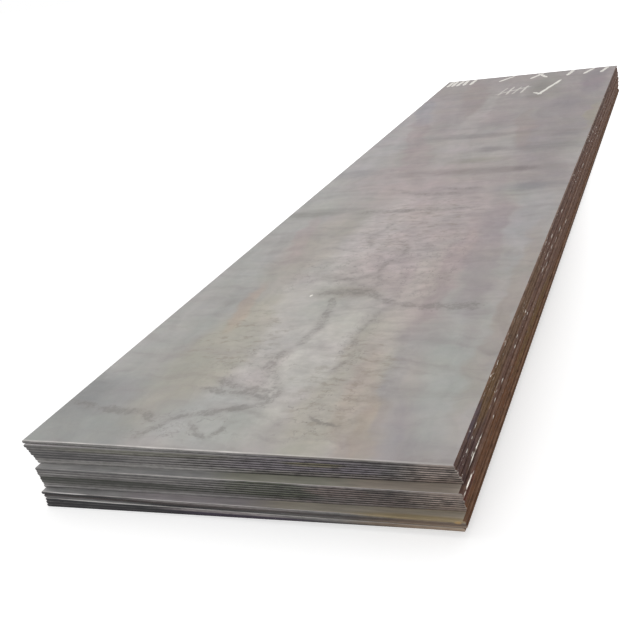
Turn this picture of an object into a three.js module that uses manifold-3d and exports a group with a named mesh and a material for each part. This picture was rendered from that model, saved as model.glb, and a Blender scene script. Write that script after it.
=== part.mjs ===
// A stack of hot-rolled steel plates, piled flat in five lifts with no spacers between them.
// Units are millimetres, +Z is up, X runs across the plates and Y along them.
// The front ends face -Y. The origin is at the bottom centre of the stack's bounding box.

import * as THREE from 'three';
import { mergeVertices } from 'three/addons/utils/BufferGeometryUtils.js';
import Module from 'manifold-3d';

const wasm = await Module();
wasm.setup();

// The plate, as it is ordered
const plateThickness = 12;
const plateWidth = 1500;
const plateLength = 6000;

// Mill scale and slight waves hold the plates this far apart
const plateGap = 0.6;

// Long edges are left as they came from the rolls, bulged out at half their height
const millEdgeBulge = 3.5;
const millEdgeSegments = 6;

// Both ends are cut on a guillotine shear: the blade rolls the upper arris over, leaves a
// plain land below it, and the steel then breaks away, leaning in towards the lower face
const rolloverRadius = 1.6;
const rolloverSegments = 4;
const shearLand = 4.5;
const breakLean = 1.1;

// Edges left by the rolls wander a little from one plate to the next
const edgeWander = 1.6;
const edgeWanderTurn = 2.4;

// Lifts from the top of the stack down. Each was lowered in one go, so its plates lean back
// together and the next lift starts further forward; the top plate came last, by itself. All
// values are for the lift's top plate, with a step that each plate below it adds:
//   extraWidth  how much wider the plates are than ordered, as mill edges leave them
//   sideInset   how far the right edge lies inside the stack's right side
//   frontLeft, frontRight  how far back the sheared front end starts, at its left and right
const lifts = [
  {
    plates: 1,
    extraWidth: 15,
    extraWidthStep: 0,
    sideInset: 11,
    sideInsetStep: 0,
    frontLeft: 13,
    frontRight: 13,
    frontLeftStep: 0,
    frontRightStep: 0,
  },
  {
    plates: 7,
    extraWidth: 7,
    extraWidthStep: -1.2,
    sideInset: 10,
    sideInsetStep: -0.8,
    frontLeft: 7,
    frontRight: 20,
    frontLeftStep: 3.3,
    frontRightStep: 7,
  },
  {
    plates: 8,
    extraWidth: 0,
    extraWidthStep: 0.7,
    sideInset: 0,
    sideInsetStep: 1.1,
    frontLeft: 1,
    frontRight: 18,
    frontLeftStep: 3.3,
    frontRightStep: 6.6,
  },
  {
    plates: 2,
    extraWidth: 11,
    extraWidthStep: -5,
    sideInset: 0,
    sideInsetStep: 1,
    frontLeft: 2,
    frontRight: 21,
    frontLeftStep: 0,
    frontRightStep: 1,
  },
  {
    plates: 3,
    extraWidth: -4,
    extraWidthStep: -3.5,
    sideInset: 8,
    sideInsetStep: 4,
    frontLeft: 0,
    frontRight: 21,
    frontLeftStep: 0,
    frontRightStep: 16,
  },
];

const platePitch = plateThickness + plateGap;
const plateCount = lifts.reduce((sum, lift) => sum + lift.plates, 0);
const cutMargin = plateThickness * 4;

// Directions that a section's own x and y, and its extrusion, are turned to
const acrossSection = new THREE.Matrix4().makeBasis(
  new THREE.Vector3(1, 0, 0),
  new THREE.Vector3(0, 0, 1),
  new THREE.Vector3(0, -1, 0),
);
const alongSection = new THREE.Matrix4().makeBasis(
  new THREE.Vector3(0, 1, 0),
  new THREE.Vector3(0, 0, 1),
  new THREE.Vector3(1, 0, 0),
);

function toSolid(geometry) {
  geometry.deleteAttribute('normal');
  geometry.deleteAttribute('uv');
  const merged = mergeVertices(geometry);
  const mesh = new wasm.Mesh({
    numProp: 3,
    vertProperties: Float32Array.from(merged.attributes.position.array),
    triVerts: Uint32Array.from(merged.index.array),
  });
  return new wasm.Manifold(mesh);
}

function toGeometry(solid) {
  const { vertProperties, triVerts } = solid.getMesh();
  const indexed = new THREE.BufferGeometry();
  indexed.setAttribute('position', new THREE.BufferAttribute(vertProperties, 3));
  indexed.setIndex(new THREE.BufferAttribute(triVerts, 1));
  const geometry = indexed.toNonIndexed();
  geometry.computeVertexNormals();
  return geometry;
}

// Section across the plate: flat faces, and a half ellipse on each rolled edge.
function rolledSection(width) {
  const halfThickness = plateThickness / 2;
  const quarterTurn = Math.PI / 2;
  const leftCentre = millEdgeBulge;
  const rightCentre = width - millEdgeBulge;
  const shape = new THREE.Shape();
  shape.moveTo(leftCentre, 0);
  shape.lineTo(rightCentre, 0);
  shape.absellipse(
    rightCentre, halfThickness, millEdgeBulge, halfThickness, -quarterTurn, quarterTurn, false,
  );
  shape.lineTo(leftCentre, plateThickness);
  shape.absellipse(
    leftCentre, halfThickness, millEdgeBulge, halfThickness, quarterTurn, 3 * quarterTurn, false,
  );
  return shape;
}

// Section along the plate: flat faces, and the profile of the shear cut on both ends.
function shearedSection(length) {
  const quarterTurn = Math.PI / 2;
  const rolloverCentre = plateThickness - rolloverRadius;
  const landBottom = rolloverCentre - shearLand;
  const shape = new THREE.Shape();
  shape.moveTo(breakLean, 0);
  shape.lineTo(length - breakLean, 0);
  shape.lineTo(length, landBottom);
  shape.absarc(length - rolloverRadius, rolloverCentre, rolloverRadius, 0, quarterTurn, false);
  shape.absarc(rolloverRadius, rolloverCentre, rolloverRadius, quarterTurn, Math.PI, false);
  shape.lineTo(0, landBottom);
  return shape;
}

// One plate with its lower front left corner at the origin. Its two ends are parallel, and
// outOfSquare is how much further back the front end is at its right than at its left.
function plateGeometry(width, length, outOfSquare) {
  const rolled = new THREE.ExtrudeGeometry(rolledSection(width), {
    depth: length + Math.abs(outOfSquare) + 2 * cutMargin,
    bevelEnabled: false,
    curveSegments: millEdgeSegments / 2,
  });
  rolled.applyMatrix4(acrossSection);
  rolled.translate(0, length + Math.max(outOfSquare, 0) + cutMargin, 0);

  const sheared = new THREE.ExtrudeGeometry(shearedSection(length), {
    depth: width + 2 * cutMargin,
    bevelEnabled: false,
    curveSegments: rolloverSegments / 2,
  });
  sheared.applyMatrix4(alongSection);
  sheared.translate(-cutMargin, 0, 0);
  sheared.applyMatrix4(new THREE.Matrix4().makeShear(outOfSquare / width, 0, 0, 0, 0, 0));

  return toGeometry(toSolid(rolled).intersect(toSolid(sheared)));
}

function hotRolledSteel() {
  return new THREE.MeshStandardMaterial({ color: 0x8f8e8b, roughness: 0.55, metalness: 0.8 });
}

// One plate of a lift, counted from 0 at the lift's top, with its upper face at height top.
function makePlate(lift, index, top) {
  const wander = edgeWander * Math.sin(edgeWanderTurn * (index + lift.plates));
  const width = plateWidth + lift.extraWidth + index * lift.extraWidthStep;
  const right = plateWidth - lift.sideInset - index * lift.sideInsetStep + wander;
  const frontLeft = lift.frontLeft + index * lift.frontLeftStep;
  const frontRight = lift.frontRight + index * lift.frontRightStep;
  const plate = new THREE.Mesh(
    plateGeometry(width, plateLength, frontRight - frontLeft),
    hotRolledSteel(),
  );
  plate.position.set(right - width, frontLeft, top - plateThickness);
  return plate;
}

function makeStack() {
  const stack = new THREE.Group();
  let number = plateCount;
  for (const lift of lifts) {
    for (let index = 0; index < lift.plates; index += 1) {
      const top = number * platePitch - plateGap;
      const plate = makePlate(lift, index, top);
      plate.name = `plate_${String(number).padStart(2, '0')}`;
      stack.add(plate);
      number -= 1;
    }
  }
  return stack;
}

// Moves the stack so that its bounding box stands on the origin.
function centreOnOrigin(stack) {
  const box = new THREE.Box3().setFromObject(stack);
  const centre = box.getCenter(new THREE.Vector3());
  stack.position.set(-centre.x, -centre.y, -box.min.z);
  return stack;
}

export default centreOnOrigin(makeStack());
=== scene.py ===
"""A stack of hot-rolled steel plates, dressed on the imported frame.

Units are metres. X runs across the plates, Y along them from the front ends, Z up.
"""

import math

import bpy
from mathutils import Euler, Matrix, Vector


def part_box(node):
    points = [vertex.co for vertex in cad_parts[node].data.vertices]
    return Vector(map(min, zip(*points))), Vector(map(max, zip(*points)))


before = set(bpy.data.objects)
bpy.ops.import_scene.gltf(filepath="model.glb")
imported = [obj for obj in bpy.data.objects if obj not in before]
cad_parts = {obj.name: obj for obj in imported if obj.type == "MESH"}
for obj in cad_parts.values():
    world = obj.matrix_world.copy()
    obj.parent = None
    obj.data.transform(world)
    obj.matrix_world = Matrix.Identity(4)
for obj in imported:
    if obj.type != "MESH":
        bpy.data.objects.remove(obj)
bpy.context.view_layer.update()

# ---------------------------------------------------------------------------
# The plates inside the stack. Each is hot-rolled mild steel, 12 mm thick, with
# mill scale on both faces and the rounded edge that the rolls left along both
# sides. Its ends were cut on a guillotine shear. Only ends and edges show.

MM = 0.001
PLATES = sorted(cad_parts)
TOP_PLATE = PLATES[-1]
TOP_LOW, TOP_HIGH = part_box(TOP_PLATE)
TOP_WIDTH = TOP_HIGH.x - TOP_LOW.x
THICKNESS = TOP_HIGH.z - TOP_LOW.z
PITCH = TOP_HIGH.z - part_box(PLATES[-2])[1].z

# A half size that reaches right through the stack
THROUGH = 100.0

# How far apart the plates take their noise from, so that no two look alike
OWN_SHIFT = 40.0

# The faces inside the stack: scale, and dust on it
INNER_SCALE = "#7c7876"
INNER_DUST = "#8f8a86"

# A sheared end: plain steel gone dull, its burnished rim, painted lighter still as a
# highlight, and the dark seam under it, painted shade between the plates, whose colour the
# grime takes too
SHEARED_STEEL = "#6b6968"
TORN_STEEL = "#605e5d"
RIM_STEEL_AND_HIGHLIGHT = "#b2aeab"
SEAM_SHADE_AND_GRIME = "#1f1e1e"

# Heights on a sheared end, as shares of the thickness: where the burnished land ends and
# the torn part starts, how far the rim fades, and where the seam's shade ends and starts
LAND_FOOT, TORN_TOP = 0.55, 0.40
RIM_FADE = 0.14
SEAM_TOP, SEAM_FOOT = 0.42, 0.20

# Tints on the ends: centre and half size across and up, colour, strength. The light grey bands
# low in the lifts are painted light, which lifts those plates out of the shade of the ledges
# and the plates above
END_TINTS_AND_PAINTED_LIGHT = [
    ((0.45, 0.2555), (0.75, 0.0090), "#8a8886", 0.7),
    ((1.20, 0.2540), (0.30, 0.0100), "#5f5a5a", 0.7),
    ((0.22, 0.2420), (0.60, 0.0070), "#4f4e4e", 0.8),
    ((0.12, 0.204), (0.42, 0.030), "#464546", 0.8),
    ((0.50, 0.240), (0.50, 0.016), "#6a695c", 0.5),
    ((1.02, 0.210), (0.36, 0.075), "#706971", 0.7),
    ((0.22, 0.181), (0.46, 0.005), "#525151", 0.6),
    ((0.70, 0.172), (1.60, 0.018), "#8e8c8a", 0.8),
    ((0.55, 0.170), (0.30, 0.014), "#9a9896", 0.7),
    ((1.12, 0.172), (0.36, 0.022), "#807a79", 0.7),
    ((0.88, 0.155), (0.10, 0.008), "#565548", 0.5),
    ((0.20, 0.1555), (0.50, 0.0050), "#5a5959", 0.7),
    ((1.50, 0.1700), (0.16, 0.0100), "#8f8580", 0.8),
    ((1.08, 0.228), (0.14, 0.012), "#6e6840", 0.6),
    ((1.56, 0.210), (0.26, 0.110), "#92867f", 0.9),
    ((0.20, 0.108), (0.60, 0.020), "#353631", 0.9),
    ((0.60, 0.098), (1.10, 0.022), "#51514e", 0.8),
    ((0.91, 0.125), (0.23, 0.060), "#4f5247", 0.9),
    ((1.14, 0.130), (0.14, 0.040), "#726460", 0.7),
    ((1.29, 0.118), (0.14, 0.060), "#5b514d", 0.7),
    ((0.45, 0.070), (0.80, 0.013), "#8f8d8c", 0.8),
    ((1.58, 0.120), (0.28, 0.110), "#91847c", 0.9),
    ((0.20, 0.020), (0.90, 0.056), "#2d2d2f", 1.0),
    ((0.10, 0.0425), (0.45, 0.0050), "#6e6d6d", 0.8),
    ((0.80, 0.014), (0.36, 0.020), "#453d4b", 0.8),
    ((0.72, 0.029), (0.30, 0.008), "#8a8384", 0.8),
    ((0.70, 0.054), (0.44, 0.006), "#8c8584", 0.8),
    ((1.15, 0.071), (0.40, 0.010), "#8d8583", 0.6),
    ((1.22, 0.092), (0.20, 0.020), "#857b79", 0.6),
    ((1.36, 0.030), (0.26, 0.042), "#746556", 0.7),
    ((1.60, 0.016), (0.40, 0.032), "#9a8b7c", 0.9),
]

# Stains that lie over the rims too, in the same terms. The dark band under the fifth plate
# from the bottom is a painted shadow, and the near-white streaks along a few rims are painted
# highlights
END_STAINS_PAINTED_SHADOW_AND_HIGHLIGHTS = [
    ((0.50, 0.2500), (1.20, 0.0035), "#6b6968", 0.6),
    ((0.08, 0.2500), (0.30, 0.0035), "#757371", 0.8),
    ((0.20, 0.1070), (0.50, 0.0120), "#3a3a37", 0.5),
    ((0.80, 0.0475), (1.60, 0.0050), "#3c3635", 0.8),
    ((0.10, 0.0080), (0.60, 0.0260), "#363537", 0.5),
    ((1.40, 0.0605), (0.30, 0.0045), "#8f7f5c", 0.7),
    ((1.505, 0.0570), (0.016, 0.0070), "#a98c60", 0.8),
    ((0.28, 0.2620), (0.24, 0.0040), "#737270", 0.85),
    ((1.10, 0.2620), (0.30, 0.0040), "#77736f", 0.9),
    ((0.14, 0.1610), (0.26, 0.0050), "#747372", 0.5),
    ((0.12, 0.1370), (0.12, 0.0030), "#b5b3b0", 0.5),
    ((0.08, 0.0740), (0.11, 0.0030), "#bdbbb9", 0.7),
    ((0.13, 0.0615), (0.10, 0.0035), "#cdcbc9", 0.8),
    ((0.52, 0.0615), (0.16, 0.0035), "#c2bfbd", 0.5),
    ((0.28, 0.0365), (0.24, 0.0035), "#c4c2c0", 0.7),
    ((1.42, 0.0300), (0.24, 0.0340), "#836f5f", 0.4),
]

# Where the seams between the ends stand out most: centre and half size
END_RIDGES = [((1.15, 0.212), (0.75, 0.080)), ((1.10, 0.115), (0.70, 0.065))]

# A rolled edge: scale with thin rust, and spots on it that were knocked bare
EDGE_SCALE = "#7d5f50"
EDGE_BLOTCH = "#8c705c"
EDGE_DARK = "#5a453a"
BARE_STEEL = "#f2ece2"

# Rims, burnished and painted lighter as a highlight, and the top plate's painted arris
# highlight are full on the left only:
# how far across they stay bright, where they are dull from, and how much of the brightness is
# left there
BRIGHT_TO, DULL_FROM = 0.80, 1.15
DULL_SHARE = 0.45

# A surface becomes an end or an edge as its normal leans that way
LEAN_START, LEAN_FULL = 0.12, 0.4

# Rounding mustn't put a plate's underside into the plate below
ROUNDING = 0.1 * MM

# Small dashes crowd on the upper plates, and only the outermost part of the bulge is
# knocked: heights in the stack, and how far the normal leans sideways
CROWDS_FROM, CROWDS_FULL = 0.08, 0.20
OUTER_START, OUTER_FULL = 0.6, 0.8

# Roughness and metallic share. Scale and rust hide the metal, and only bare spots show it
END_ROUGHNESS, EDGE_ROUGHNESS, BARE_ROUGHNESS = 0.5, 0.75, 0.35
FACE_METAL, END_METAL, EDGE_METAL, BARE_METAL = 0.25, 0.3, 0.05, 1.0

# Dust takes most of the mirror off every surface
DUSTY_SPECULAR = 0.1

# Grain and scratches are finer than 1 mm on the real plate; they are drawn 3 to 5 mm wide,
# and this deep, so that they show
GRAIN_DEPTH = 0.4 * MM

# Tints on the right edges: centre and half size along and up, colour, strength. The light
# bands along the steps between lifts are painted light on ledges in the shade of the plates
# above, and the light band at the top plate's upper rim is a painted highlight
EDGE_TINTS_AND_PAINTED_LIGHT = [
    ((3.50, 0.22), (4.50, 0.20), "#7b6056", 0.9),
    ((3.50, 0.05), (4.50, 0.13), "#775a4b", 0.9),
    ((0.50, 0.05), (1.60, 0.13), "#7b553b", 0.9),
    ((0.10, 0.02), (0.60, 0.06), "#694834", 0.8),
    ((0.06, 0.135), (0.16, 0.03), "#6a3f38", 0.8),
    ((0.10, 0.220), (0.40, 0.09), "#64504f", 0.9),
    ((0.02, 0.190), (0.24, 0.05), "#57423f", 0.8),
    ((0.46, 0.228), (0.30, 0.05), "#7f6446", 0.8),
    ((0.26, 0.250), (0.14, 0.02), "#655860", 0.8),
    ((1.30, 0.090), (0.60, 0.05), "#7f673f", 0.6),
    ((1.10, 0.230), (0.70, 0.05), "#836a50", 0.6),
    ((2.60, 0.245), (1.20, 0.03), "#715a54", 0.6),
    ((4.60, 0.252), (1.90, 0.03), "#5f4e49", 0.7),
    ((1.20, 0.026), (2.20, 0.038), "#64452f", 0.8),
    ((4.40, 0.026), (3.00, 0.046), "#5a4337", 0.9),
    ((3.00, 0.262), (2.80, 0.006), "#9d887c", 0.6),
    ((3.20, 0.065), (5.60, 0.014), "#987660", 0.8),
    ((3.40, 0.158), (4.20, 0.012), "#8f7364", 0.6),
]

# Bare dashes knocked into the right edges: centre and half size along and up, strength
EDGE_DASHES = [
    ((0.210, 0.1718), (0.110, 0.0036), 1.00),
    ((0.090, 0.1460), (0.048, 0.0060), 1.00),
    ((0.020, 0.1440), (0.030, 0.0060), 0.75),
    ((0.152, 0.1350), (0.014, 0.0060), 0.55),
    ((0.020, 0.2280), (0.012, 0.0050), 0.55),
    ((0.130, 0.2240), (0.016, 0.0050), 0.60),
    ((0.176, 0.1830), (0.014, 0.0042), 0.55),
    ((0.135, 0.2030), (0.009, 0.0042), 0.50),
    ((0.199, 0.2480), (0.009, 0.0042), 0.50),
    ((0.202, 0.2260), (0.012, 0.0050), 0.55),
    ((0.256, 0.2300), (0.024, 0.0050), 0.70),
    ((0.510, 0.1690), (0.018, 0.0050), 0.60),
    ((0.518, 0.1957), (0.010, 0.0042), 0.50),
    ((0.552, 0.1800), (0.012, 0.0042), 0.55),
    ((0.640, 0.1690), (0.020, 0.0060), 0.65),
    ((0.644, 0.0650), (0.010, 0.0042), 0.50),
    ((0.444, 0.1450), (0.011, 0.0050), 0.55),
    ((0.770, 0.2480), (0.020, 0.0042), 0.55),
    ((0.890, 0.1720), (0.018, 0.0042), 0.55),
    ((0.950, 0.1850), (0.018, 0.0042), 0.55),
    ((1.600, 0.1830), (0.045, 0.0042), 0.50),
    ((1.690, 0.1700), (0.035, 0.0042), 0.50),
    ((1.745, 0.1960), (0.045, 0.0042), 0.50),
    ((1.750, 0.2480), (0.030, 0.0042), 0.50),
    ((1.880, 0.1830), (0.040, 0.0042), 0.50),
    ((1.910, 0.2230), (0.035, 0.0042), 0.50),
    ((2.000, 0.1690), (0.050, 0.0042), 0.50),
    ((2.150, 0.1700), (0.050, 0.0042), 0.50),
    ((2.270, 0.2220), (0.035, 0.0042), 0.50),
    ((2.330, 0.1450), (0.035, 0.0042), 0.50),
    ((3.210, 0.1840), (0.060, 0.0042), 0.50),
    ((3.335, 0.2480), (0.050, 0.0042), 0.50),
    ((3.415, 0.2020), (0.060, 0.0042), 0.50),
]


def linear(hex_colour, alpha=1.0):
    """An sRGB hex colour as linear values."""
    channels = [int(hex_colour[i : i + 2], 16) / 255 for i in (1, 3, 5)]
    straight = [c / 12.92 if c <= 0.04045 else ((c + 0.055) / 1.055) ** 2.4 for c in channels]
    return (*straight, alpha)


def add_node(tree, kind, inputs=None, **settings):
    """Adds a node with its settings. Inputs hold hex colours, values, nodes or sockets."""
    node = tree.nodes.new("ShaderNode" + kind)
    for name, value in settings.items():
        setattr(node, name, value)
    for key, value in (inputs or {}).items():
        socket = node.inputs[key]
        if not socket.enabled:
            socket = next(s for s in node.inputs if s.enabled and s.name == key)
        if isinstance(value, bpy.types.Node):
            value = next(s for s in value.outputs if s.enabled)
        if isinstance(value, bpy.types.NodeSocket):
            tree.links.new(value, socket)
        elif isinstance(value, str):
            socket.default_value = linear(value)
        else:
            socket.default_value = value
    return node


def wander(tree, place, feature, reach, detail=3.0):
    """Moves a place about by half of reach at most, in swirls about as wide as feature."""
    noise = add_node(
        tree, "TexNoise",
        {"Vector": place, "Scale": 0.5 / feature, "Detail": detail, "Roughness": 0.6},
    )
    centred = add_node(
        tree, "VectorMath",
        {0: noise.outputs["Color"], 1: (0.5, 0.5, 0.5)}, operation="SUBTRACT",
    )
    return add_node(
        tree, "VectorMath",
        {0: centred, 1: reach, 2: place}, operation="MULTIPLY_ADD",
    )


def blots(tree, place, feature, low, high, stretch=(1, 1, 1), detail=3.0, most=1.0, turn=0.0):
    """A mask of blots about as wide as feature: 0 where noise is under low, most over high."""
    drawn_out = add_node(
        tree, "Mapping",
        {"Vector": place, "Rotation": (0.0, 0.0, math.radians(turn)), "Scale": stretch},
        vector_type="TEXTURE",
    )
    noise = add_node(
        tree, "TexNoise",
        {"Vector": drawn_out, "Scale": 0.5 / feature, "Detail": detail, "Roughness": 0.6},
    )
    return add_node(
        tree, "MapRange",
        {"Value": noise, "From Min": low, "From Max": high, "To Max": most},
        interpolation_type="SMOOTHSTEP",
    )


def oval(tree, place, centre, half_size, turn=0.0, strength=1.0, flat=0.5):
    """A mask that is strength over an oval's flat share and falls softly to 0 at its rim."""
    ball = add_node(tree, "TexGradient", {"Vector": place}, gradient_type="SPHERICAL")
    ball.texture_mapping.vector_type = "TEXTURE"
    ball.texture_mapping.translation = centre
    ball.texture_mapping.rotation = (0.0, 0.0, math.radians(turn))
    ball.texture_mapping.scale = half_size
    return add_node(
        tree, "MapRange",
        {"Value": ball.outputs["Fac"], "From Max": 1 - flat, "To Max": strength},
        interpolation_type="SMOOTHSTEP",
    )


def ovals(tree, place, shapes):
    """A mask of several ovals laid over each other, where the strongest shows."""
    masks = [oval(tree, place, *shape) for shape in shapes]
    while len(masks) > 1:
        first, second = masks[:2]
        strongest = add_node(tree, "Math", {0: first, 1: second}, operation="MAXIMUM")
        masks = masks[2:] + [strongest]
    return masks[0]


def open_finish(name, creep):
    """Starts a plate's material, with the places, heights and directions its parts need.
    Rust has crept onto its face as far in from the top plate's side as creep says."""
    material = bpy.data.materials.new(name)
    material.use_nodes = True
    tree = material.node_tree
    spot = add_node(tree, "TexCoord")

    # Metres from the top plate's front left corner
    place = add_node(
        tree, "VectorMath",
        {0: spot.outputs["Object"], 1: (TOP_LOW.x, TOP_LOW.y, 0.0)}, operation="SUBTRACT",
    )
    axes = add_node(tree, "SeparateXYZ", {"Vector": place})
    facing = add_node(tree, "SeparateXYZ", {"Vector": spot.outputs["Normal"]})
    left = add_node(
        tree, "MapRange",
        {"Value": axes.outputs["X"], "From Min": DULL_FROM, "From Max": BRIGHT_TO,
         "To Min": DULL_SHARE},
        interpolation_type="SMOOTHSTEP",
    )
    sideways = add_node(tree, "Math", {0: facing.outputs["X"]}, operation="ABSOLUTE")
    endways = add_node(tree, "Math", {0: facing.outputs["Y"]}, operation="ABSOLUTE")
    on_edge = add_node(
        tree, "MapRange", {"Value": sideways, "From Min": LEAN_START, "From Max": LEAN_FULL},
        interpolation_type="SMOOTHSTEP",
    )
    on_end = add_node(
        tree, "MapRange", {"Value": endways, "From Min": LEAN_START, "From Max": LEAN_FULL},
        interpolation_type="SMOOTHSTEP",
    )

    # Rust on the face counts as rolled edge, but not where the face turns into an end
    rust_line = TOP_WIDTH - creep
    margin = add_node(
        tree, "MapRange",
        {"Value": axes.outputs["X"], "From Min": rust_line, "From Max": rust_line + 2 * MM},
        interpolation_type="SMOOTHSTEP",
    )
    margin = add_node(
        tree, "Math", {0: margin, 1: on_end}, operation="SUBTRACT", use_clamp=True,
    )
    on_edge = add_node(tree, "Math", {0: on_edge, 1: margin}, operation="MAXIMUM")

    # Each plate's own number and the height within it, from 0 at its underside to 1
    storey = add_node(tree, "Math", {0: axes.outputs["Z"], 1: ROUNDING}, operation="ADD")
    storey = add_node(tree, "Math", {0: storey, 1: PITCH}, operation="DIVIDE")
    number = add_node(tree, "Math", {0: storey}, operation="FLOOR")
    share = add_node(tree, "Math", {0: storey, 1: number}, operation="SUBTRACT")
    height = add_node(
        tree, "Math", {0: share, 1: PITCH / THICKNESS}, operation="MULTIPLY",
    )
    chance = add_node(tree, "TexWhiteNoise", {"W": number}, noise_dimensions="1D")
    own_place = add_node(
        tree, "VectorMath",
        {0: chance.outputs["Color"], 1: (OWN_SHIFT, OWN_SHIFT, OWN_SHIFT), 2: place},
        operation="MULTIPLY_ADD",
    )
    return {
        "material": material,
        "tree": tree,
        "place": place,
        "own_place": own_place,
        "height": height,
        "chance": chance.outputs["Value"],
        "left": left,
        "on_edge": on_edge,
        "on_end": on_end,
        "sideways": sideways,
    }


def tinted(tree, place, colour, tints, across):
    """Lays tints over a colour, in ovals on the plane of the given two axes."""
    for centre, half_size, tint, strength in tints:
        middle, half = [0.0, 0.0, 0.0], [THROUGH, THROUGH, THROUGH]
        for axis, along, half_along in zip(across, centre, half_size):
            middle[axis], half[axis] = along, half_along
        mask = oval(tree, place, middle, half, strength=strength)
        colour = add_node(
            tree, "Mix", {"Factor": mask, "A": colour, "B": tint}, data_type="RGBA",
        )
    return colour


def sheared_end(kit, rim_foot, rim_least, rim_most):
    """Colour of a sheared end and its grain. The blade burnishes the upper part and leaves
    a rim, painted lighter still as a highlight; the lower part tears off, and the seam under
    it is painted dark as the shade between the plates."""
    tree = kit["tree"]
    torn = add_node(
        tree, "MapRange",
        {"Value": kit["height"], "From Min": LAND_FOOT, "From Max": TORN_TOP},
        interpolation_type="SMOOTHSTEP",
    )
    colour = add_node(
        tree, "Mix", {"Factor": torn, "A": SHEARED_STEEL, "B": TORN_STEEL}, data_type="RGBA",
    )
    smudged = wander(tree, kit["place"], 60 * MM, (90 * MM, 90 * MM, 3 * MM))
    # Tints, with light bands painted as light where the ends sit in shade
    colour = tinted(tree, smudged, colour, END_TINTS_AND_PAINTED_LIGHT, (0, 2))

    # Scratches along the cut, specks of grit, and each plate a little lighter or darker
    scratch = blots(tree, kit["own_place"], 5 * MM, 0.30, 0.70, stretch=(40, 1, 1), detail=4.0)
    speck = blots(tree, kit["own_place"], 5 * MM, 0.30, 0.70, stretch=(2.5, 1, 1), detail=4.0)
    shade = add_node(tree, "Math", {0: scratch, 1: kit["chance"]}, operation="ADD")
    shade = add_node(tree, "Math", {0: shade, 1: speck}, operation="ADD")
    shade = add_node(
        tree, "MapRange",
        {"Value": shade, "From Min": 0.4, "From Max": 2.6, "To Min": 0.68, "To Max": 1.54},
    )
    colour = add_node(
        tree, "VectorMath", {0: colour, "Scale": shade}, operation="SCALE",
    )

    # Oily grime has caught in patches where the seams stand out
    ridged = ovals(tree, smudged, [
        ((x, 0.0, z), (half_x, THROUGH, half_z)) for (x, z), (half_x, half_z) in END_RIDGES
    ])
    grime = blots(
        tree, kit["place"], 10 * MM, 0.48, 0.62, stretch=(2.0, 1, 0.8), detail=5.0, most=0.42,
    )
    grime = add_node(tree, "Math", {0: grime, 1: ridged}, operation="MULTIPLY")
    colour = add_node(
        tree, "Mix", {"Factor": grime, "A": colour, "B": SEAM_SHADE_AND_GRIME}, data_type="RGBA",
    )

    # The rim, burnished and painted lighter as a highlight, unevenly, and then the seam,
    # painted dark as the shade between the plates, deepest where the seams stand out
    rim_strength = blots(tree, kit["own_place"], 4 * MM, 0.35, 0.60, stretch=(10, 1, 1), detail=4.0)
    rim_strength = add_node(
        tree, "MapRange", {"Value": rim_strength, "To Min": rim_least, "To Max": rim_most},
    )
    rim_strength = add_node(tree, "Math", {0: rim_strength, 1: kit["left"]}, operation="MULTIPLY")
    rim_strength = add_node(
        tree, "Math", {0: ridged, 1: 0.35, 2: rim_strength}, operation="MULTIPLY_ADD", use_clamp=True,
    )
    rim = add_node(
        tree, "MapRange",
        {"Value": kit["height"], "From Min": rim_foot, "From Max": rim_foot + RIM_FADE},
        interpolation_type="SMOOTHSTEP",
    )
    rim = add_node(tree, "Math", {0: rim, 1: rim_strength}, operation="MULTIPLY")
    colour = add_node(
        tree, "Mix", {"Factor": rim, "A": colour, "B": RIM_STEEL_AND_HIGHLIGHT}, data_type="RGBA",
    )
    seam = add_node(
        tree, "MapRange",
        {"Value": kit["height"], "From Min": SEAM_TOP, "From Max": SEAM_FOOT},
        interpolation_type="SMOOTHSTEP",
    )
    depth = add_node(tree, "Math", {0: ridged, 1: 0.75, 2: 0.25}, operation="MULTIPLY_ADD")
    seam = add_node(tree, "Math", {0: seam, 1: depth}, operation="MULTIPLY")
    colour = add_node(
        tree, "Mix", {"Factor": seam, "A": colour, "B": SEAM_SHADE_AND_GRIME}, data_type="RGBA",
    )
    # Stains last, among them a painted shadow and painted highlights
    return tinted(tree, smudged, colour, END_STAINS_PAINTED_SHADOW_AND_HIGHLIGHTS, (0, 2)), scratch


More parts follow.
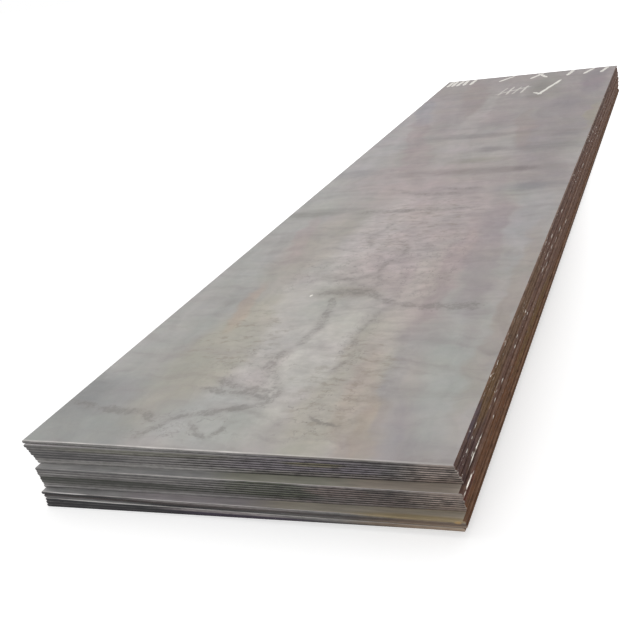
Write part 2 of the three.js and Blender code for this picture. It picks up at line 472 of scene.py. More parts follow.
def rolled_edge(kit):
    """Colour of a rolled edge, a mask of the spots knocked bare on it, and its grain. It
    was never cut, so thin rust covers it, and handling knocks bright dashes into it."""
    tree = kit["tree"]
    drifted = wander(tree, kit["place"], 90 * MM, (0.0, 120 * MM, 16 * MM))
    # Tints, some of them painted light and a painted highlight
    colour = tinted(tree, drifted, EDGE_SCALE, EDGE_TINTS_AND_PAINTED_LIGHT, (1, 2))
    line = blots(tree, kit["own_place"], 4 * MM, 0.35, 0.70, stretch=(1, 8, 1), detail=5.0)
    speck = blots(tree, kit["own_place"], 8 * MM, 0.35, 0.65, stretch=(1, 2, 1), detail=6.0)
    shade = add_node(tree, "Math", {0: line, 1: speck}, operation="ADD")
    shade = add_node(
        tree, "MapRange", {"Value": shade, "From Max": 2.0, "To Min": 0.74, "To Max": 1.26},
    )
    colour = add_node(tree, "VectorMath", {0: colour, "Scale": shade}, operation="SCALE")
    blotch = blots(
        tree, kit["own_place"], 9 * MM, 0.45, 0.75, stretch=(1, 2.5, 1), detail=5.0, most=0.6,
    )
    colour = add_node(
        tree, "Mix", {"Factor": blotch, "A": colour, "B": EDGE_BLOTCH}, data_type="RGBA",
    )
    dark = blots(
        tree, kit["own_place"], 9 * MM, 0.48, 0.72, stretch=(1, 4, 1), detail=4.0, most=0.8,
    )
    colour = add_node(
        tree, "Mix", {"Factor": dark, "A": colour, "B": EDGE_DARK}, data_type="RGBA",
    )

    # Bare dashes: larger ones on the right edges, where slings and forks have rubbed, torn
    # along their length, and many small ones in crowds on both sides
    nudged = wander(tree, kit["place"], 12 * MM, (0.0, 20 * MM, 4 * MM))
    bare = ovals(tree, nudged, [
        ((TOP_WIDTH, *centre), (1.0, *half_size), 0.0, strength, 0.6)
        for centre, half_size, strength in EDGE_DASHES
    ])
    torn = blots(tree, kit["own_place"], 4 * MM, 0.38, 0.50, stretch=(1, 7, 1), detail=4.0)
    torn = add_node(tree, "MapRange", {"Value": torn, "To Min": 0.15, "To Max": 1.0})
    bare = add_node(tree, "Math", {0: bare, 1: torn}, operation="MULTIPLY")
    chips = blots(
        tree, kit["own_place"], 4 * MM, 0.62, 0.68, stretch=(1, 5, 1), detail=2.0, most=0.75,
    )
    crowd = blots(tree, kit["place"], 110 * MM, 0.46, 0.58, stretch=(1, 2.0, 0.8), detail=2.0)
    axes = add_node(tree, "SeparateXYZ", {"Vector": kit["place"]})
    high_up = add_node(
        tree, "MapRange",
        {"Value": axes.outputs["Z"], "From Min": CROWDS_FROM, "From Max": CROWDS_FULL},
        interpolation_type="SMOOTHSTEP",
    )
    crowd = add_node(tree, "Math", {0: crowd, 1: high_up}, operation="MULTIPLY")
    chips = add_node(tree, "Math", {0: chips, 1: crowd}, operation="MULTIPLY")
    bare = add_node(tree, "Math", {0: bare, 1: chips}, operation="MAXIMUM")
    outermost = add_node(
        tree, "MapRange",
        {"Value": kit["sideways"], "From Min": OUTER_START, "From Max": OUTER_FULL},
        interpolation_type="SMOOTHSTEP",
    )
    bare = add_node(tree, "Math", {0: bare, 1: outermost}, operation="MULTIPLY")
    return colour, bare, line


def close_finish(kit, face, face_roughness, face_grain, rim_foot, rim_least, rim_most):
    """Joins the face to the ends and edges and connects the shader."""
    tree, on_end, on_edge = kit["tree"], kit["on_end"], kit["on_edge"]
    end_colour, end_grain = sheared_end(kit, rim_foot, rim_least, rim_most)
    edge_colour, bare, edge_grain = rolled_edge(kit)
    shader = tree.nodes["Principled BSDF"]
    shader.inputs["Specular IOR Level"].default_value = DUSTY_SPECULAR
    layers = {
        "Base Color": ("RGBA", face, end_colour, edge_colour, BARE_STEEL),
        "Roughness": (
            "FLOAT", face_roughness, END_ROUGHNESS, EDGE_ROUGHNESS, BARE_ROUGHNESS,
        ),
        "Metallic": ("FLOAT", FACE_METAL, END_METAL, EDGE_METAL, BARE_METAL),
        "Height": ("FLOAT", face_grain, end_grain, edge_grain, 1.0),
    }
    for name, (data_type, on_face, at_end, at_edge, where_bare) in layers.items():
        value = add_node(
            tree, "Mix", {"Factor": on_end, "A": on_face, "B": at_end}, data_type=data_type,
        )
        value = add_node(
            tree, "Mix", {"Factor": on_edge, "A": value, "B": at_edge}, data_type=data_type,
        )
        value = add_node(
            tree, "Mix", {"Factor": bare, "A": value, "B": where_bare}, data_type=data_type,
        )
        if name == "Height":
            value = add_node(
                tree, "Bump", {"Height": value, "Strength": 0.4, "Distance": GRAIN_DEPTH},
            )
            name = "Normal"
        output = next(s for s in value.outputs if s.enabled)
        tree.links.new(output, shader.inputs[name])
    return kit["material"]


# Mill scale shut away from the weather: a satin mid grey, a little blotched with dust. Only
# a few millimetres of it come out of the stack, rusty near the rolled edges
kit = open_finish("mill_scale_inner", creep=12 * MM)
tree = kit["tree"]
dust = blots(tree, kit["own_place"], 40 * MM, 0.35, 0.65, detail=4.0)
face = add_node(
    tree, "Mix", {"Factor": dust, "A": INNER_SCALE, "B": INNER_DUST}, data_type="RGBA",
)
grain = blots(tree, kit["own_place"], 3 * MM, 0.2, 0.8)
# Inner rims carry only a faint burnish and painted highlight
inner_steel = close_finish(
    kit, face, face_roughness=0.55, face_grain=grain,
    rim_foot=0.62, rim_least=0.05, rim_most=0.30,
)
for name in PLATES[:-1]:
    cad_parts[name].data.materials[0] = inner_steel

# ---------------------------------------------------------------------------
# The plates that lead each lift. They lie a little forward of the plates above,
# so a ledge of their upper face shows, dull with dust, and their front rim is
# burnished and painted lighter as a highlight.

LEDGE_SCALE = "#a6a5a5"
LEDGE_DUST = "#b0afae"

# Tints on the ledges: centre and half size across, along and up, colour, strength. The tints
# are lighter than the scale, partly run-off colour and partly painted light where the plates
# above shade the ledges; the near-white streaks at the front rims on the left are painted
# highlights
LEDGE_TINTS_AND_PAINTED_LIGHT = [
    ((1.00, 0.0, 0.16), (0.36, 9.0, 0.03), "#b7b6a6", 0.8),
    ((1.45, 0.0, 0.16), (0.40, 9.0, 0.03), "#c4b8ab", 0.9),
    ((0.65, 0.0, 0.06), (0.40, 9.0, 0.03), "#b6aeb2", 0.7),
    ((1.10, 0.0, 0.06), (0.34, 9.0, 0.03), "#c4bcac", 0.8),
    ((1.45, 0.0, 0.06), (0.30, 9.0, 0.03), "#c6bcab", 0.9),
    ((1.40, 0.005, 0.06), (0.32, 0.025, 0.01), "#b9a478", 0.7),
    ((0.08, 0.0, 0.2514), (0.24, 0.009, 0.004), "#dcd6d8", 0.6),
    ((0.06, 0.005, 0.163), (0.16, 0.012, 0.004), "#d0cecc", 0.3),
]

# Mill scale that workers and slings have brushed past: paler and duller than the scale inside,
# with dust dragged along it and the colours that run-off leaves, lightened further as painted
# light where the plates above shade it
kit = open_finish("mill_scale_ledge", creep=3 * MM)
tree = kit["tree"]
dust = blots(tree, kit["own_place"], 40 * MM, 0.35, 0.65, detail=4.0)
face = add_node(
    tree, "Mix", {"Factor": dust, "A": LEDGE_SCALE, "B": LEDGE_DUST}, data_type="RGBA",
)
smudged = wander(tree, kit["place"], 60 * MM, (90 * MM, 5 * MM, 3 * MM))
face = tinted(tree, smudged, face, LEDGE_TINTS_AND_PAINTED_LIGHT, (0, 1, 2))
drag = blots(tree, kit["own_place"], 5 * MM, 0.30, 0.70, stretch=(14, 1, 1), detail=4.0)
shade = add_node(tree, "MapRange", {"Value": drag, "To Min": 0.91, "To Max": 1.20})
face = add_node(tree, "VectorMath", {0: face, "Scale": shade}, operation="SCALE")
grain = blots(tree, kit["own_place"], 3 * MM, 0.2, 0.8)
# The ledges' front rims carry a strong painted highlight over their burnish
ledge_steel = close_finish(
    kit, face, face_roughness=0.6, face_grain=grain,
    rim_foot=0.78, rim_least=0.40, rim_most=0.90,
)
for name, above in zip(PLATES, PLATES[1:]):
    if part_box(name)[0].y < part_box(above)[0].y:
        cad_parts[name].data.materials[0] = ledge_steel

# ---------------------------------------------------------------------------
# The top plate. It lay in the open: its mill scale has weathered into broad
# bluish, olive and mauve tints, and water has dried on it in ragged dark lines.
# A checker has marked its far end with chalk.

SCALE_GREY = "#a8a3a0"
SCALE_BANDS = "#8e8786"
STUCK_DIRT = "#8a8175"
RUN_HALO = "#8c8683"
RUN_CORE = "#74716d"
# A painted highlight along the front arris
ARRIS_HIGHLIGHT = "#dedbd6"
CHALK = "#f3f0ea"

# Roughness of the scale, from its smoothest to its dullest, and of chalk
SATIN, DULL_SATIN = 0.45, 0.58
CHALK_ROUGHNESS = 0.95

# How far back the front arris carries its full painted highlight, and where that has faded
ARRIS_FULL, ARRIS_GONE = 2 * MM, 9 * MM

# Tints: centre and half size from the front left corner, turn, colour, strength
TINTS = [
    ((0.75, 5.2), (1.60, 1.90), 0, "#9e9595", 0.8),
    ((0.70, 1.5), (0.42, 1.60), -3, "#b5b0ac", 0.8),
    ((0.04, 1.9), (0.28, 2.40), 0, "#a7a6a3", 0.9),
    ((0.05, 4.0), (0.30, 1.50), 0, "#aca8a8", 0.8),
    ((0.06, 0.10), (0.50, 0.50), 0, "#949593", 0.8),
    ((0.28, 0.95), (0.13, 0.75), 0, "#9e9f9c", 0.5),
    ((0.42, 0.70), (0.22, 0.70), -4, "#a6a295", 0.6),
    ((0.36, 1.75), (0.18, 0.75), -3, "#aaa39a", 0.5),
    ((0.33, 1.05), (0.06, 0.30), 12, "#b0a094", 0.6),
    ((0.25, 1.90), (0.06, 0.40), 10, "#ab9f9d", 0.6),
    ((0.62, 1.05), (0.15, 0.45), 10, "#bab7b2", 0.7),
    ((1.03, 0.45), (0.17, 0.65), 0, "#b1ada0", 0.6),
    ((0.82, 0.60), (0.12, 0.60), 0, "#bfbcb6", 0.7),
    ((0.62, 0.18), (0.24, 0.28), 0, "#abaeaa", 0.5),
    ((0.95, 1.95), (0.46, 1.05), 0, "#aea1a1", 0.7),
    ((0.62, 2.60), (0.30, 0.60), 0, "#b3a6a5", 0.6),
    ((0.75, 2.90), (0.80, 0.45), 0, "#a89a9a", 0.4),
    ((0.62, 2.00), (0.18, 0.60), 0, "#bab2b1", 0.6),
    ((1.14, 1.40), (0.12, 0.80), 0, "#a69796", 0.6),
    ((1.06, 1.10), (0.10, 0.85), 0, "#bdb5ae", 0.5),
    ((1.22, 0.14), (0.06, 0.26), 8, "#a79b8b", 0.5),
    ((1.34, 0.20), (0.10, 0.38), 6, "#959291", 0.55),
    ((1.12, 0.30), (0.09, 0.46), 12, "#aa9e94", 0.6),
    ((1.23, 0.32), (0.050, 0.44), 14, "#9b9799", 0.45),
    ((1.38, 0.60), (0.15, 0.68), 5, "#a9aaa6", 0.7),
    ((1.25, 1.78), (0.09, 1.20), 6.5, "#9a9192", 0.6),
    ((1.40, 2.00), (0.12, 0.90), 5, "#a5a3a4", 0.6),
    ((1.40, 2.75), (0.20, 0.35), 0, "#988f90", 0.5),
    ((1.28, 4.00), (0.30, 1.60), 0, "#938b8c", 0.7),
    ((0.62, 4.20), (0.10, 1.60), 2, "#aea8a6", 0.6),
    ((0.30, 3.85), (0.11, 0.85), 13, "#a19394", 0.6),
    ((0.12, 4.75), (0.11, 0.60), 13, "#94929a", 0.5),
    ((0.45, 3.30), (0.12, 0.50), 10, "#a39796", 0.6),
    ((0.42, 5.15), (0.13, 0.90), 9, "#9a8d8c", 0.7),
    ((1.05, 3.95), (0.08, 0.80), 8, "#988b86", 0.5),
    ((0.98, 5.40), (0.17, 0.70), 4, "#918d88", 0.7),
    ((1.38, 5.50), (0.15, 0.70), 0, "#8b8187", 0.7),
    ((1.48, 4.20), (0.06, 0.50), 0, "#a19a82", 0.4),
    ((1.47, 1.10), (0.06, 1.20), 0, "#a0968d", 0.5),
]

# Broad damp marks, patchy in themselves: centre, half size, turn, colour, strength
DAMP = [
    ((0.04, 0.30), (0.20, 0.24), 0, "#7d7f80", 0.5),
    ((0.75, 1.19), (0.22, 0.10), 0, "#827a6c", 0.5),
    ((0.15, 2.29), (0.30, 0.11), 8, "#85857f", 0.6),
    ((0.85, 2.56), (0.36, 0.11), 0, "#8b8082", 0.4),
    ((1.32, 2.60), (0.30, 0.11), 2, "#7b7b80", 0.5),
    ((0.90, 2.95), (0.85, 0.11), 0, "#857b7a", 0.6),
    ((1.22, 2.95), (0.12, 0.09), 0, "#665e60", 0.4),
    ((0.12, 3.05), (0.24, 0.11), 0, "#868585", 0.5),
    ((0.85, 3.19), (0.26, 0.10), 0, "#858574", 0.4),
    ((0.92, 3.44), (0.15, 0.12), 0, "#757172", 0.5),
    ((1.28, 3.41), (0.34, 0.15), 0, "#7e7a7a", 0.5),
    ((0.70, 3.82), (0.55, 0.10), 0, "#7f7a7a", 0.5),
    ((1.36, 3.74), (0.26, 0.12), 0, "#7b7676", 0.5),
    ((0.75, 4.15), (0.24, 0.25), 0, "#888384", 0.4),
    ((0.94, 4.97), (0.13, 0.11), 0, "#77746f", 0.4),
    ((0.96, 5.38), (0.10, 0.30), 0, "#827f7a", 0.5),
    ((1.25, 4.65), (0.18, 0.45), 0, "#837e85", 0.4),
]

# Dried runs of water: half width, strength, then points along the run
RUNS = [
    (0.018, 1.0, [(0.02, 0.26), (0.16, 0.23), (0.28, 0.20), (0.36, 0.21), (0.42, 0.16)]),
    (0.018, 1.0, [(0.43, 0.06), (0.48, 0.17), (0.57, 0.21), (0.66, 0.24), (0.76, 0.27)]),
    (0.021, 0.9, [(0.76, 0.27), (0.81, 0.32), (0.80, 0.38), (0.76, 0.44), (0.73, 0.49)]),
    (0.018, 1.0, [(0.51, 0.37), (0.61, 0.35), (0.70, 0.35), (0.80, 0.31)]),
    (0.022, 1.0, [(0.54, 0.43), (0.65, 0.38), (0.77, 0.37)]),
    (0.013, 1.0, [(0.57, 0.16), (0.63, 0.10), (0.69, 0.07), (0.71, 0.15)]),
    (0.030, 0.8, [(0.74, 0.44), (0.70, 0.52), (0.67, 0.58), (0.70, 0.66)]),
    (0.020, 0.95, [(0.735, 0.72), (0.745, 0.80), (0.75, 0.93), (0.73, 1.03), (0.71, 1.14)]),
    (0.030, 1.0, [(0.63, 1.19), (0.73, 1.21), (0.86, 1.20)]),
    (0.021, 0.9, [(0.86, 1.20), (0.93, 1.13), (1.01, 1.08), (1.11, 1.06), (1.21, 1.055)]),
    (0.034, 1.0, [(1.14, 1.058), (1.22, 1.055), (1.30, 1.056), (1.36, 1.06)]),
    (0.014, 0.8, [(0.87, 1.24), (0.86, 1.33), (0.83, 1.39)]),
    (0.021, 0.8, [(0.55, 1.39), (0.66, 1.35), (0.75, 1.33), (0.79, 1.39)]),
    (0.018, 0.8, [(0.82, 1.42), (0.82, 1.53), (0.87, 1.62), (0.87, 1.70), (0.83, 1.76)]),
    (0.018, 0.75, [(0.68, 1.73), (0.64, 1.81), (0.63, 1.90), (0.67, 1.99), (0.68, 2.10)]),
    (0.026, 0.9, [(0.44, 2.265), (0.60, 2.27), (0.75, 2.27), (0.90, 2.265), (1.05, 2.26)]),
    (0.025, 0.75, [(0.51, 2.66), (0.63, 2.58), (0.76, 2.53), (0.86, 2.55), (0.93, 2.53)]),
    (0.022, 0.75, [(0.80, 2.64), (0.93, 2.62), (1.03, 2.60)]),
    (0.008, 1.0, [(0.98, 0.22), (1.03, 0.18), (1.10, 0.175)]),
    (0.013, 0.8, [(0.95, 0.52), (0.98, 0.65), (0.94, 0.80), (0.96, 1.00)]),
]

# Where fine veins gather in the scale: centre and half size
CRAZED = [
    ((0.62, 0.52), (0.28, 0.28)),
    ((0.95, 0.70), (0.10, 0.42)),
    ((1.00, 0.25), (0.22, 0.20)),
    ((0.75, 1.60), (0.28, 0.55)),
    ((1.05, 1.50), (0.25, 0.60)),
    ((0.50, 1.50), (0.14, 0.35)),
    ((0.55, 0.12), (0.30, 0.14)),
]

# Where dirt has stuck in small mottles: centre and half size
MOTTLED = [
    ((0.46, 0.78), (0.24, 0.40)),
    ((1.02, 0.45), (0.22, 0.42)),
    ((0.80, 2.10), (0.40, 0.60)),
]

# Where the scale is scuffed most: centre and half size
SCUFFED = [
    ((0.85, 1.75), (0.50, 1.10)),
    ((0.75, 0.55), (0.35, 0.45)),
    ((1.10, 0.40), (0.16, 0.50)),
]

# Chalk strokes: centre, half length, half width, turn from the X axis, strength
TALLY = [
    ((0.64, 5.30), 0.16, 0.010, 84, 0.35),
    ((0.70, 5.31), 0.17, 0.010, 87, 0.40),
    ((0.76, 5.30), 0.16, 0.010, 83, 0.35),
    ((0.82, 5.32), 0.16, 0.010, 86, 0.40),
    ((0.73, 5.31), 0.19, 0.011, 40, 0.40),
    ((1.03, 5.32), 0.29, 0.013, 78, 1.0),
    ((0.96, 5.10), 0.06, 0.013, 130, 1.0),
]

# A row of short strokes along the far end: place across, turn
FAR_TICKS = [
    (0.05, 88), (0.09, 90), (0.14, 86), (0.19, 91), (0.26, 88), (0.57, 62),
    (0.84, 70), (0.89, 116), (1.13, 84), (1.29, 72), (1.42, 80),
]
FAR_ROW_Y = 5.87

# A crumb of chalk: centre, half size, turn
CRUMB = ((0.594, 1.17, 0.0), (0.013, 0.007, 1.0), 80)

# Mill scale in the open: satin, with soft cloudy colour like oil on water gone dull, fine
# streaks along the rolling, and matt dark and white marks on it
kit = open_finish("mill_scale_weathered", creep=0.0)
tree = kit["tree"]

# The face's patterns don't change with height, so they run on over its rounded rims
flat_place = add_node(
    tree, "Mapping", {"Vector": kit["place"], "Scale": (1, 1, 1000)}, vector_type="TEXTURE",
)

# Tints have drifted in slow swirls, and whatever dried on the plate has crinkled rims
drifted = wander(tree, flat_place, 170 * MM, (200 * MM, 260 * MM, 0.0), detail=2.0)
drifted = wander(tree, drifted, 30 * MM, (50 * MM, 80 * MM, 0.0), detail=4.0)
crinkled = wander(tree, flat_place, 50 * MM, (45 * MM, 45 * MM, 0.0), detail=2.0)
crinkled = wander(tree, crinkled, 9 * MM, (22 * MM, 22 * MM, 0.0), detail=3.0)

face = SCALE_GREY
for centre, half_size, turn, tint, strength in TINTS:
    mask = oval(tree, drifted, (*centre, 0.0), (*half_size, 1.0), turn, strength)
    face = add_node(tree, "Mix", {"Factor": mask, "A": face, "B": tint}, data_type="RGBA")

# Rolling leaves the scale cloudy at every size, in shade and a little in hue
cloud = add_node(
    tree, "TexNoise",
    {"Vector": flat_place, "Scale": 0.5 / (150 * MM), "Detail": 6.0, "Roughness": 0.68},
)
shade = add_node(
    tree, "MapRange",
    {"Value": cloud, "From Min": 0.2, "From Max": 0.8, "To Min": 0.92, "To Max": 1.22},
)
face = add_node(tree, "VectorMath", {0: face, "Scale": shade}, operation="SCALE")
hue = add_node(
    tree, "VectorMath", {0: cloud.outputs["Color"], 1: (0.5, 0.5, 0.5)}, operation="SUBTRACT",
)
face = add_node(
    tree, "VectorMath", {0: hue, 1: (0.05, 0.05, 0.05), 2: face}, operation="MULTIPLY_ADD",
)
for feature, stretch in ((40 * MM, 6), (120 * MM, 4)):
    band = blots(
        tree, drifted, feature, 0.45, 0.75, stretch=(stretch, 1, 1), detail=4.0, most=0.35,
    )
    face = add_node(
        tree, "Mix", {"Factor": band, "A": face, "B": SCALE_BANDS}, data_type="RGBA",
    )

# Long streaks lean across the length, and the middle is scuffed in small wisps
streak = blots(tree, drifted, 45 * MM, 0.25, 0.75, stretch=(1, 7, 1), detail=4.0, turn=9)
shade = add_node(tree, "MapRange", {"Value": streak, "To Min": 1.06, "To Max": 0.94})
face = add_node(tree, "VectorMath", {0: face, "Scale": shade}, operation="SCALE")
wisp = blots(tree, flat_place, 26 * MM, 0.30, 0.70, stretch=(1.5, 1, 1), detail=6.0)
scuffed = ovals(tree, drifted, [
    ((*centre, 0.0), (*half_size, 1.0)) for centre, half_size in SCUFFED
])
depth = add_node(tree, "Math", {0: scuffed, 1: 0.13, 2: 0.05}, operation="MULTIPLY_ADD")
shade = add_node(tree, "Math", {0: wisp, 1: 0.5}, operation="SUBTRACT")
shade = add_node(tree, "Math", {0: shade, 1: depth}, operation="MULTIPLY")
shade = add_node(tree, "Math", {0: shade, 1: 1.0}, operation="ADD")
face = add_node(tree, "VectorMath", {0: face, "Scale": shade}, operation="SCALE")

# Damp marks are patchy, and dirt in small mottles lies over them
ragged = blots(tree, crinkled, 50 * MM, 0.32, 0.62, stretch=(2.0, 1, 1), detail=5.0)
ragged = add_node(tree, "MapRange", {"Value": ragged, "To Min": 0.4, "To Max": 1.0})
for centre, half_size, turn, tint, strength in DAMP:
    mask = oval(tree, crinkled, (*centre, 0.0), (*half_size, 1.0), turn, strength, 0.2)
    mask = add_node(tree, "Math", {0: mask, 1: ragged}, operation="MULTIPLY")
    face = add_node(tree, "Mix", {"Factor": mask, "A": face, "B": tint}, data_type="RGBA")

mottle = blots(
    tree, crinkled, 14 * MM, 0.50, 0.66, stretch=(2.2, 1, 1), detail=5.0, most=0.40,
)
mottled = ovals(tree, drifted, [
    ((*centre, 0.0), (*half_size, 1.0)) for centre, half_size in MOTTLED
])
mottle = add_node(tree, "Math", {0: mottle, 1: mottled}, operation="MULTIPLY")
face = add_node(tree, "Mix", {"Factor": mottle, "A": face, "B": STUCK_DIRT}, data_type="RGBA")

# Each stretch of a run is a long oval that laps over the next one
stretches = []
for half_width, strength, points in RUNS:
    for (x0, y0), (x1, y1) in zip(points, points[1:]):
        half_length = math.hypot(x1 - x0, y1 - y0) + half_width
        turn = math.degrees(math.atan2(y1 - y0, x1 - x0))
        middle = ((x0 + x1) / 2, (y0 + y1) / 2, 0.0)
        stretches.append((middle, (half_length, 2 * half_width, 1.0), turn, strength, 0.2))
run = ovals(tree, crinkled, stretches)

# Veins: thin lines where a noise passes its middle value, shown only here and there
swirl = add_node(
    tree, "TexNoise",
    {"Vector": crinkled, "Scale": 0.5 / (45 * MM), "Detail": 4.0, "Roughness": 0.6},
)
off_middle = add_node(tree, "Math", {0: swirl, 1: 0.5}, operation="SUBTRACT")
off_middle = add_node(tree, "Math", {0: off_middle}, operation="ABSOLUTE")
vein = add_node(
    tree, "MapRange", {"Value": off_middle, "From Min": 0.03, "From Max": 0.0},
    interpolation_type="SMOOTHSTEP",
)
crazed = ovals(tree, drifted, [
    ((*centre, 0.0), (*half_size, 1.0), 0.0, 0.8) for centre, half_size in CRAZED
])
vein = add_node(tree, "Math", {0: vein, 1: crazed}, operation="MULTIPLY")
run = add_node(tree, "Math", {0: run, 1: vein}, operation="MAXIMUM")

# A run breaks up into ragged dark grains, thick at its middle and thin toward its rim
grains = add_node(
    tree, "TexNoise",
    {"Vector": crinkled, "Scale": 0.5 / (10 * MM), "Detail": 6.0, "Roughness": 0.75},
)
patchy = blots(tree, flat_place, 60 * MM, 0.30, 0.65)
patchy = add_node(tree, "MapRange", {"Value": patchy, "To Min": 0.60, "To Max": 1.0})
thick = add_node(tree, "Math", {0: run, 1: patchy}, operation="MULTIPLY")
thick = add_node(tree, "Math", {0: thick, 1: 0.34, 2: grains}, operation="MULTIPLY_ADD")
core = add_node(
    tree, "MapRange", {"Value": thick, "From Min": 0.64, "From Max": 0.86, "To Max": 0.38},
    interpolation_type="SMOOTHSTEP",
)
shown = add_node(
    tree, "MapRange", {"Value": run, "From Min": 0.05, "From Max": 0.30},
    interpolation_type="SMOOTHSTEP",
)
core = add_node(tree, "Math", {0: core, 1: shown}, operation="MULTIPLY")
halo = add_node(tree, "Math", {0: run, 1: 0.26}, operation="MULTIPLY")
face = add_node(
    tree, "Mix", {"Factor": halo, "A": face, "B": RUN_HALO}, data_type="RGBA",
)
face = add_node(
    tree, "Mix", {"Factor": core, "A": face, "B": RUN_CORE}, data_type="RGBA",
)

# The front arris is painted lighter as a highlight, in patches
axes = add_node(tree, "SeparateXYZ", {"Vector": kit["place"]})
arris = add_node(
    tree, "MapRange",
    {"Value": axes.outputs["Y"], "From Min": ARRIS_GONE, "From Max": ARRIS_FULL},
    interpolation_type="SMOOTHSTEP",
)
arris_patches = blots(tree, flat_place, 70 * MM, 0.35, 0.65)
arris_patches = add_node(tree, "MapRange", {"Value": arris_patches, "To Min": 0.35, "To Max": 1.0})
arris = add_node(tree, "Math", {0: arris, 1: arris_patches}, operation="MULTIPLY")
arris = add_node(tree, "Math", {0: arris, 1: kit["left"]}, operation="MULTIPLY")
face = add_node(
    tree, "Mix", {"Factor": arris, "A": face, "B": ARRIS_HIGHLIGHT}, data_type="RGBA",
)

# Chalk catches only on the high grains of the scale, so a stroke is gritty. Each stroke is
# three ovals in a row
shaky = wander(tree, flat_place, 60 * MM, (22 * MM, 22 * MM, 0.0))
strokes = [CRUMB]
far_row = [((x, FAR_ROW_Y), 0.12, 0.014, turn, 1.0) for x, turn in FAR_TICKS]
for (x, y), half_length, half_width, turn, strength in TALLY + far_row:
    for shift in (-0.5, 0.0, 0.5):
        middle = (
            x + shift * half_length * math.cos(math.radians(turn)),
            y + shift * half_length * math.sin(math.radians(turn)),
            0.0,
        )
        strokes.append((middle, (0.6 * half_length, 1.5 * half_width, 1.0), turn, strength))
stroke = ovals(tree, shaky, strokes)
grit = blots(tree, flat_place, 5 * MM, 0.20, 0.48)
laid = add_node(
    tree, "MapRange", {"Value": stroke, "From Min": 0.10, "From Max": 0.60},
    interpolation_type="SMOOTHSTEP",
)
laid = add_node(tree, "Math", {0: laid, 1: grit}, operation="MULTIPLY")
face = add_node(tree, "Mix", {"Factor": laid, "A": face, "B": CHALK}, data_type="RGBA")

# Roughness follows the clouds, and chalk is matt
gloss = add_node(
    tree, "MapRange",
    {"Value": cloud, "From Min": 0.3, "From Max": 0.7, "To Min": SATIN, "To Max": DULL_SATIN},
)
gloss = add_node(
    tree, "Mix", {"Factor": laid, "A": gloss, "B": CHALK_ROUGHNESS}, data_type="FLOAT",
)
grain = blots(tree, flat_place, 4 * MM, 0.2, 0.8, detail=4.0)
# The top plate's front rim carries the strongest burnish and painted highlight
top_steel = close_finish(
    kit, face, face_roughness=gloss, face_grain=grain,
    rim_foot=0.74, rim_least=0.50, rim_most=1.0,
)
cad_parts[TOP_PLATE].data.materials[0] = top_steel

# ---------------------------------------------------------------------------
# The floor is a plain pale studio floor, painted matt. It isn't part of the
# stack, and it only takes the stack's shadow.

FLOOR_HALF = 60.0
FLOOR_PAINT = "#e7e7e7"

# The paint glows for the camera up to white, and less so near the front end, where the
# stack's shadow has to show: nearest and furthest distance from there, and the least glow
GLOW_NEAR, GLOW_FAR = 1.5, 6.0
LEAST_GLOW = 0.52
floor_mesh = bpy.data.meshes.new("floor")
floor_mesh.from_pydata(
    [(-FLOOR_HALF, -FLOOR_HALF, 0), (FLOOR_HALF, -FLOOR_HALF, 0),
     (FLOOR_HALF, FLOOR_HALF, 0), (-FLOOR_HALF, FLOOR_HALF, 0)],
    [],
    [(0, 1, 2, 3)],
)
floor = bpy.data.objects.new("floor", floor_mesh)
bpy.context.scene.collection.objects.link(floor)

# Matt paint: an even pale grey with no reflection
pale_floor = bpy.data.materials.new("pale_floor")
pale_floor.use_nodes = True
tree = pale_floor.node_tree
shader = tree.nodes["Principled BSDF"]
shader.inputs["Base Color"].default_value = linear(FLOOR_PAINT)
shader.inputs["Roughness"].default_value = 1.0
shader.inputs["Specular IOR Level"].default_value = 0.0
floor_mesh.materials.append(pale_floor)
path = add_node(tree, "LightPath")
seen = add_node(
    tree, "Math",
    {0: path.outputs["Is Camera Ray"], 1: path.outputs["Is Glossy Ray"]}, operation="MAXIMUM",
)
seen = add_node(
    tree, "Math", {0: seen, 1: path.outputs["Is Transmission Ray"]}, operation="MAXIMUM",
)
spot = add_node(tree, "TexCoord")
away = add_node(
    tree, "VectorMath", {0: spot.outputs["Object"], 1: (0.0, TOP_LOW.y, 0.0)},
    operation="DISTANCE",
)
level = add_node(
    tree, "MapRange",
    {"Value": away, "From Min": GLOW_NEAR, "From Max": GLOW_FAR, "To Min": LEAST_GLOW},
    interpolation_type="SMOOTHSTEP",
)
shader.inputs["Emission Color"].default_value = linear("#ffffff")
glow = add_node(tree, "Math", {0: seen, 1: level}, operation="MULTIPLY")
tree.links.new(glow.outputs[0], shader.inputs["Emission Strength"])

# ---------------------------------------------------------------------------
# Soft studio light: a white room that lights the stack weakly but shows white
# to the camera and in reflections, a large lamp overhead and a broad one in front.

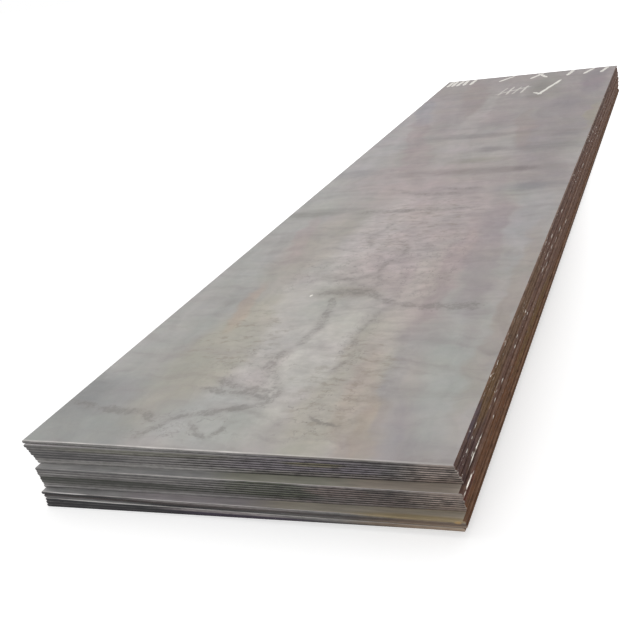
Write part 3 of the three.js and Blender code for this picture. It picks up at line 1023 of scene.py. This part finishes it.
ROOM_LIGHT = 0.42
world = bpy.data.worlds.new("studio")
bpy.context.scene.world = world
world.use_nodes = True
tree = world.node_tree
background = tree.nodes["Background"]
path = add_node(tree, "LightPath")
seen = add_node(
    tree, "Math",
    {0: path.outputs["Is Camera Ray"], 1: path.outputs["Is Glossy Ray"]}, operation="MAXIMUM",
)
seen = add_node(
    tree, "Math", {0: seen, 1: path.outputs["Is Transmission Ray"]}, operation="MAXIMUM",
)
strength = add_node(
    tree, "MapRange", {"Value": seen, "To Min": ROOM_LIGHT, "To Max": 1.0},
)
background.inputs["Color"].default_value = linear("#ffffff")
tree.links.new(strength.outputs[0], background.inputs["Strength"])

# Name, size, watts, place and aim of each lamp
LAMPS = [
    ("overhead_softbox", (9.0, 12.0), 270.0, (-2.0, 0.0, 7.0), (0.0, 0.0, 0.0)),
    ("front_softbox", (9.0, 4.0), 330.0, (0.8, -12.0, 3.2), (0.0, -2.0, 0.0)),
]
for name, size, watts, place, aim in LAMPS:
    lamp_data = bpy.data.lights.new(name, "AREA")
    lamp_data.shape = "RECTANGLE"
    lamp_data.size, lamp_data.size_y = size
    lamp_data.energy = watts
    lamp = bpy.data.objects.new(name, lamp_data)
    lamp.location = place
    lamp.rotation_euler = (Vector(aim) - Vector(place)).to_track_quat("-Z", "Y").to_euler()
    bpy.context.scene.collection.objects.link(lamp)

# ---------------------------------------------------------------------------
# The camera is held at head height, 2 m in front of the stack and to its right,
# and tilted a little. It looks down the length of the plates.

CAMERA_PLACE = Vector((1.381, -4.914, 1.635))
CAMERA_AIM = Vector((0.242, -2.091, TOP_HIGH.z))
CAMERA_ROLL = math.radians(9.54)
FOCAL_LENGTH_MM = 48.09
camera_data = bpy.data.cameras.new("camera")
camera_data.sensor_width = 36.0
camera_data.lens = FOCAL_LENGTH_MM
camera_data.shift_x = -0.1
camera_data.clip_end = 200.0
camera = bpy.data.objects.new("camera", camera_data)
aim = (CAMERA_AIM - CAMERA_PLACE).to_track_quat("-Z", "Y")
camera.location = CAMERA_PLACE
camera.rotation_mode = "QUATERNION"
camera.rotation_quaternion = aim @ Euler((0, 0, -CAMERA_ROLL)).to_quaternion()
bpy.context.scene.collection.objects.link(camera)
bpy.context.scene.camera = camera

bpy.context.scene.view_settings.view_transform = "Standard"
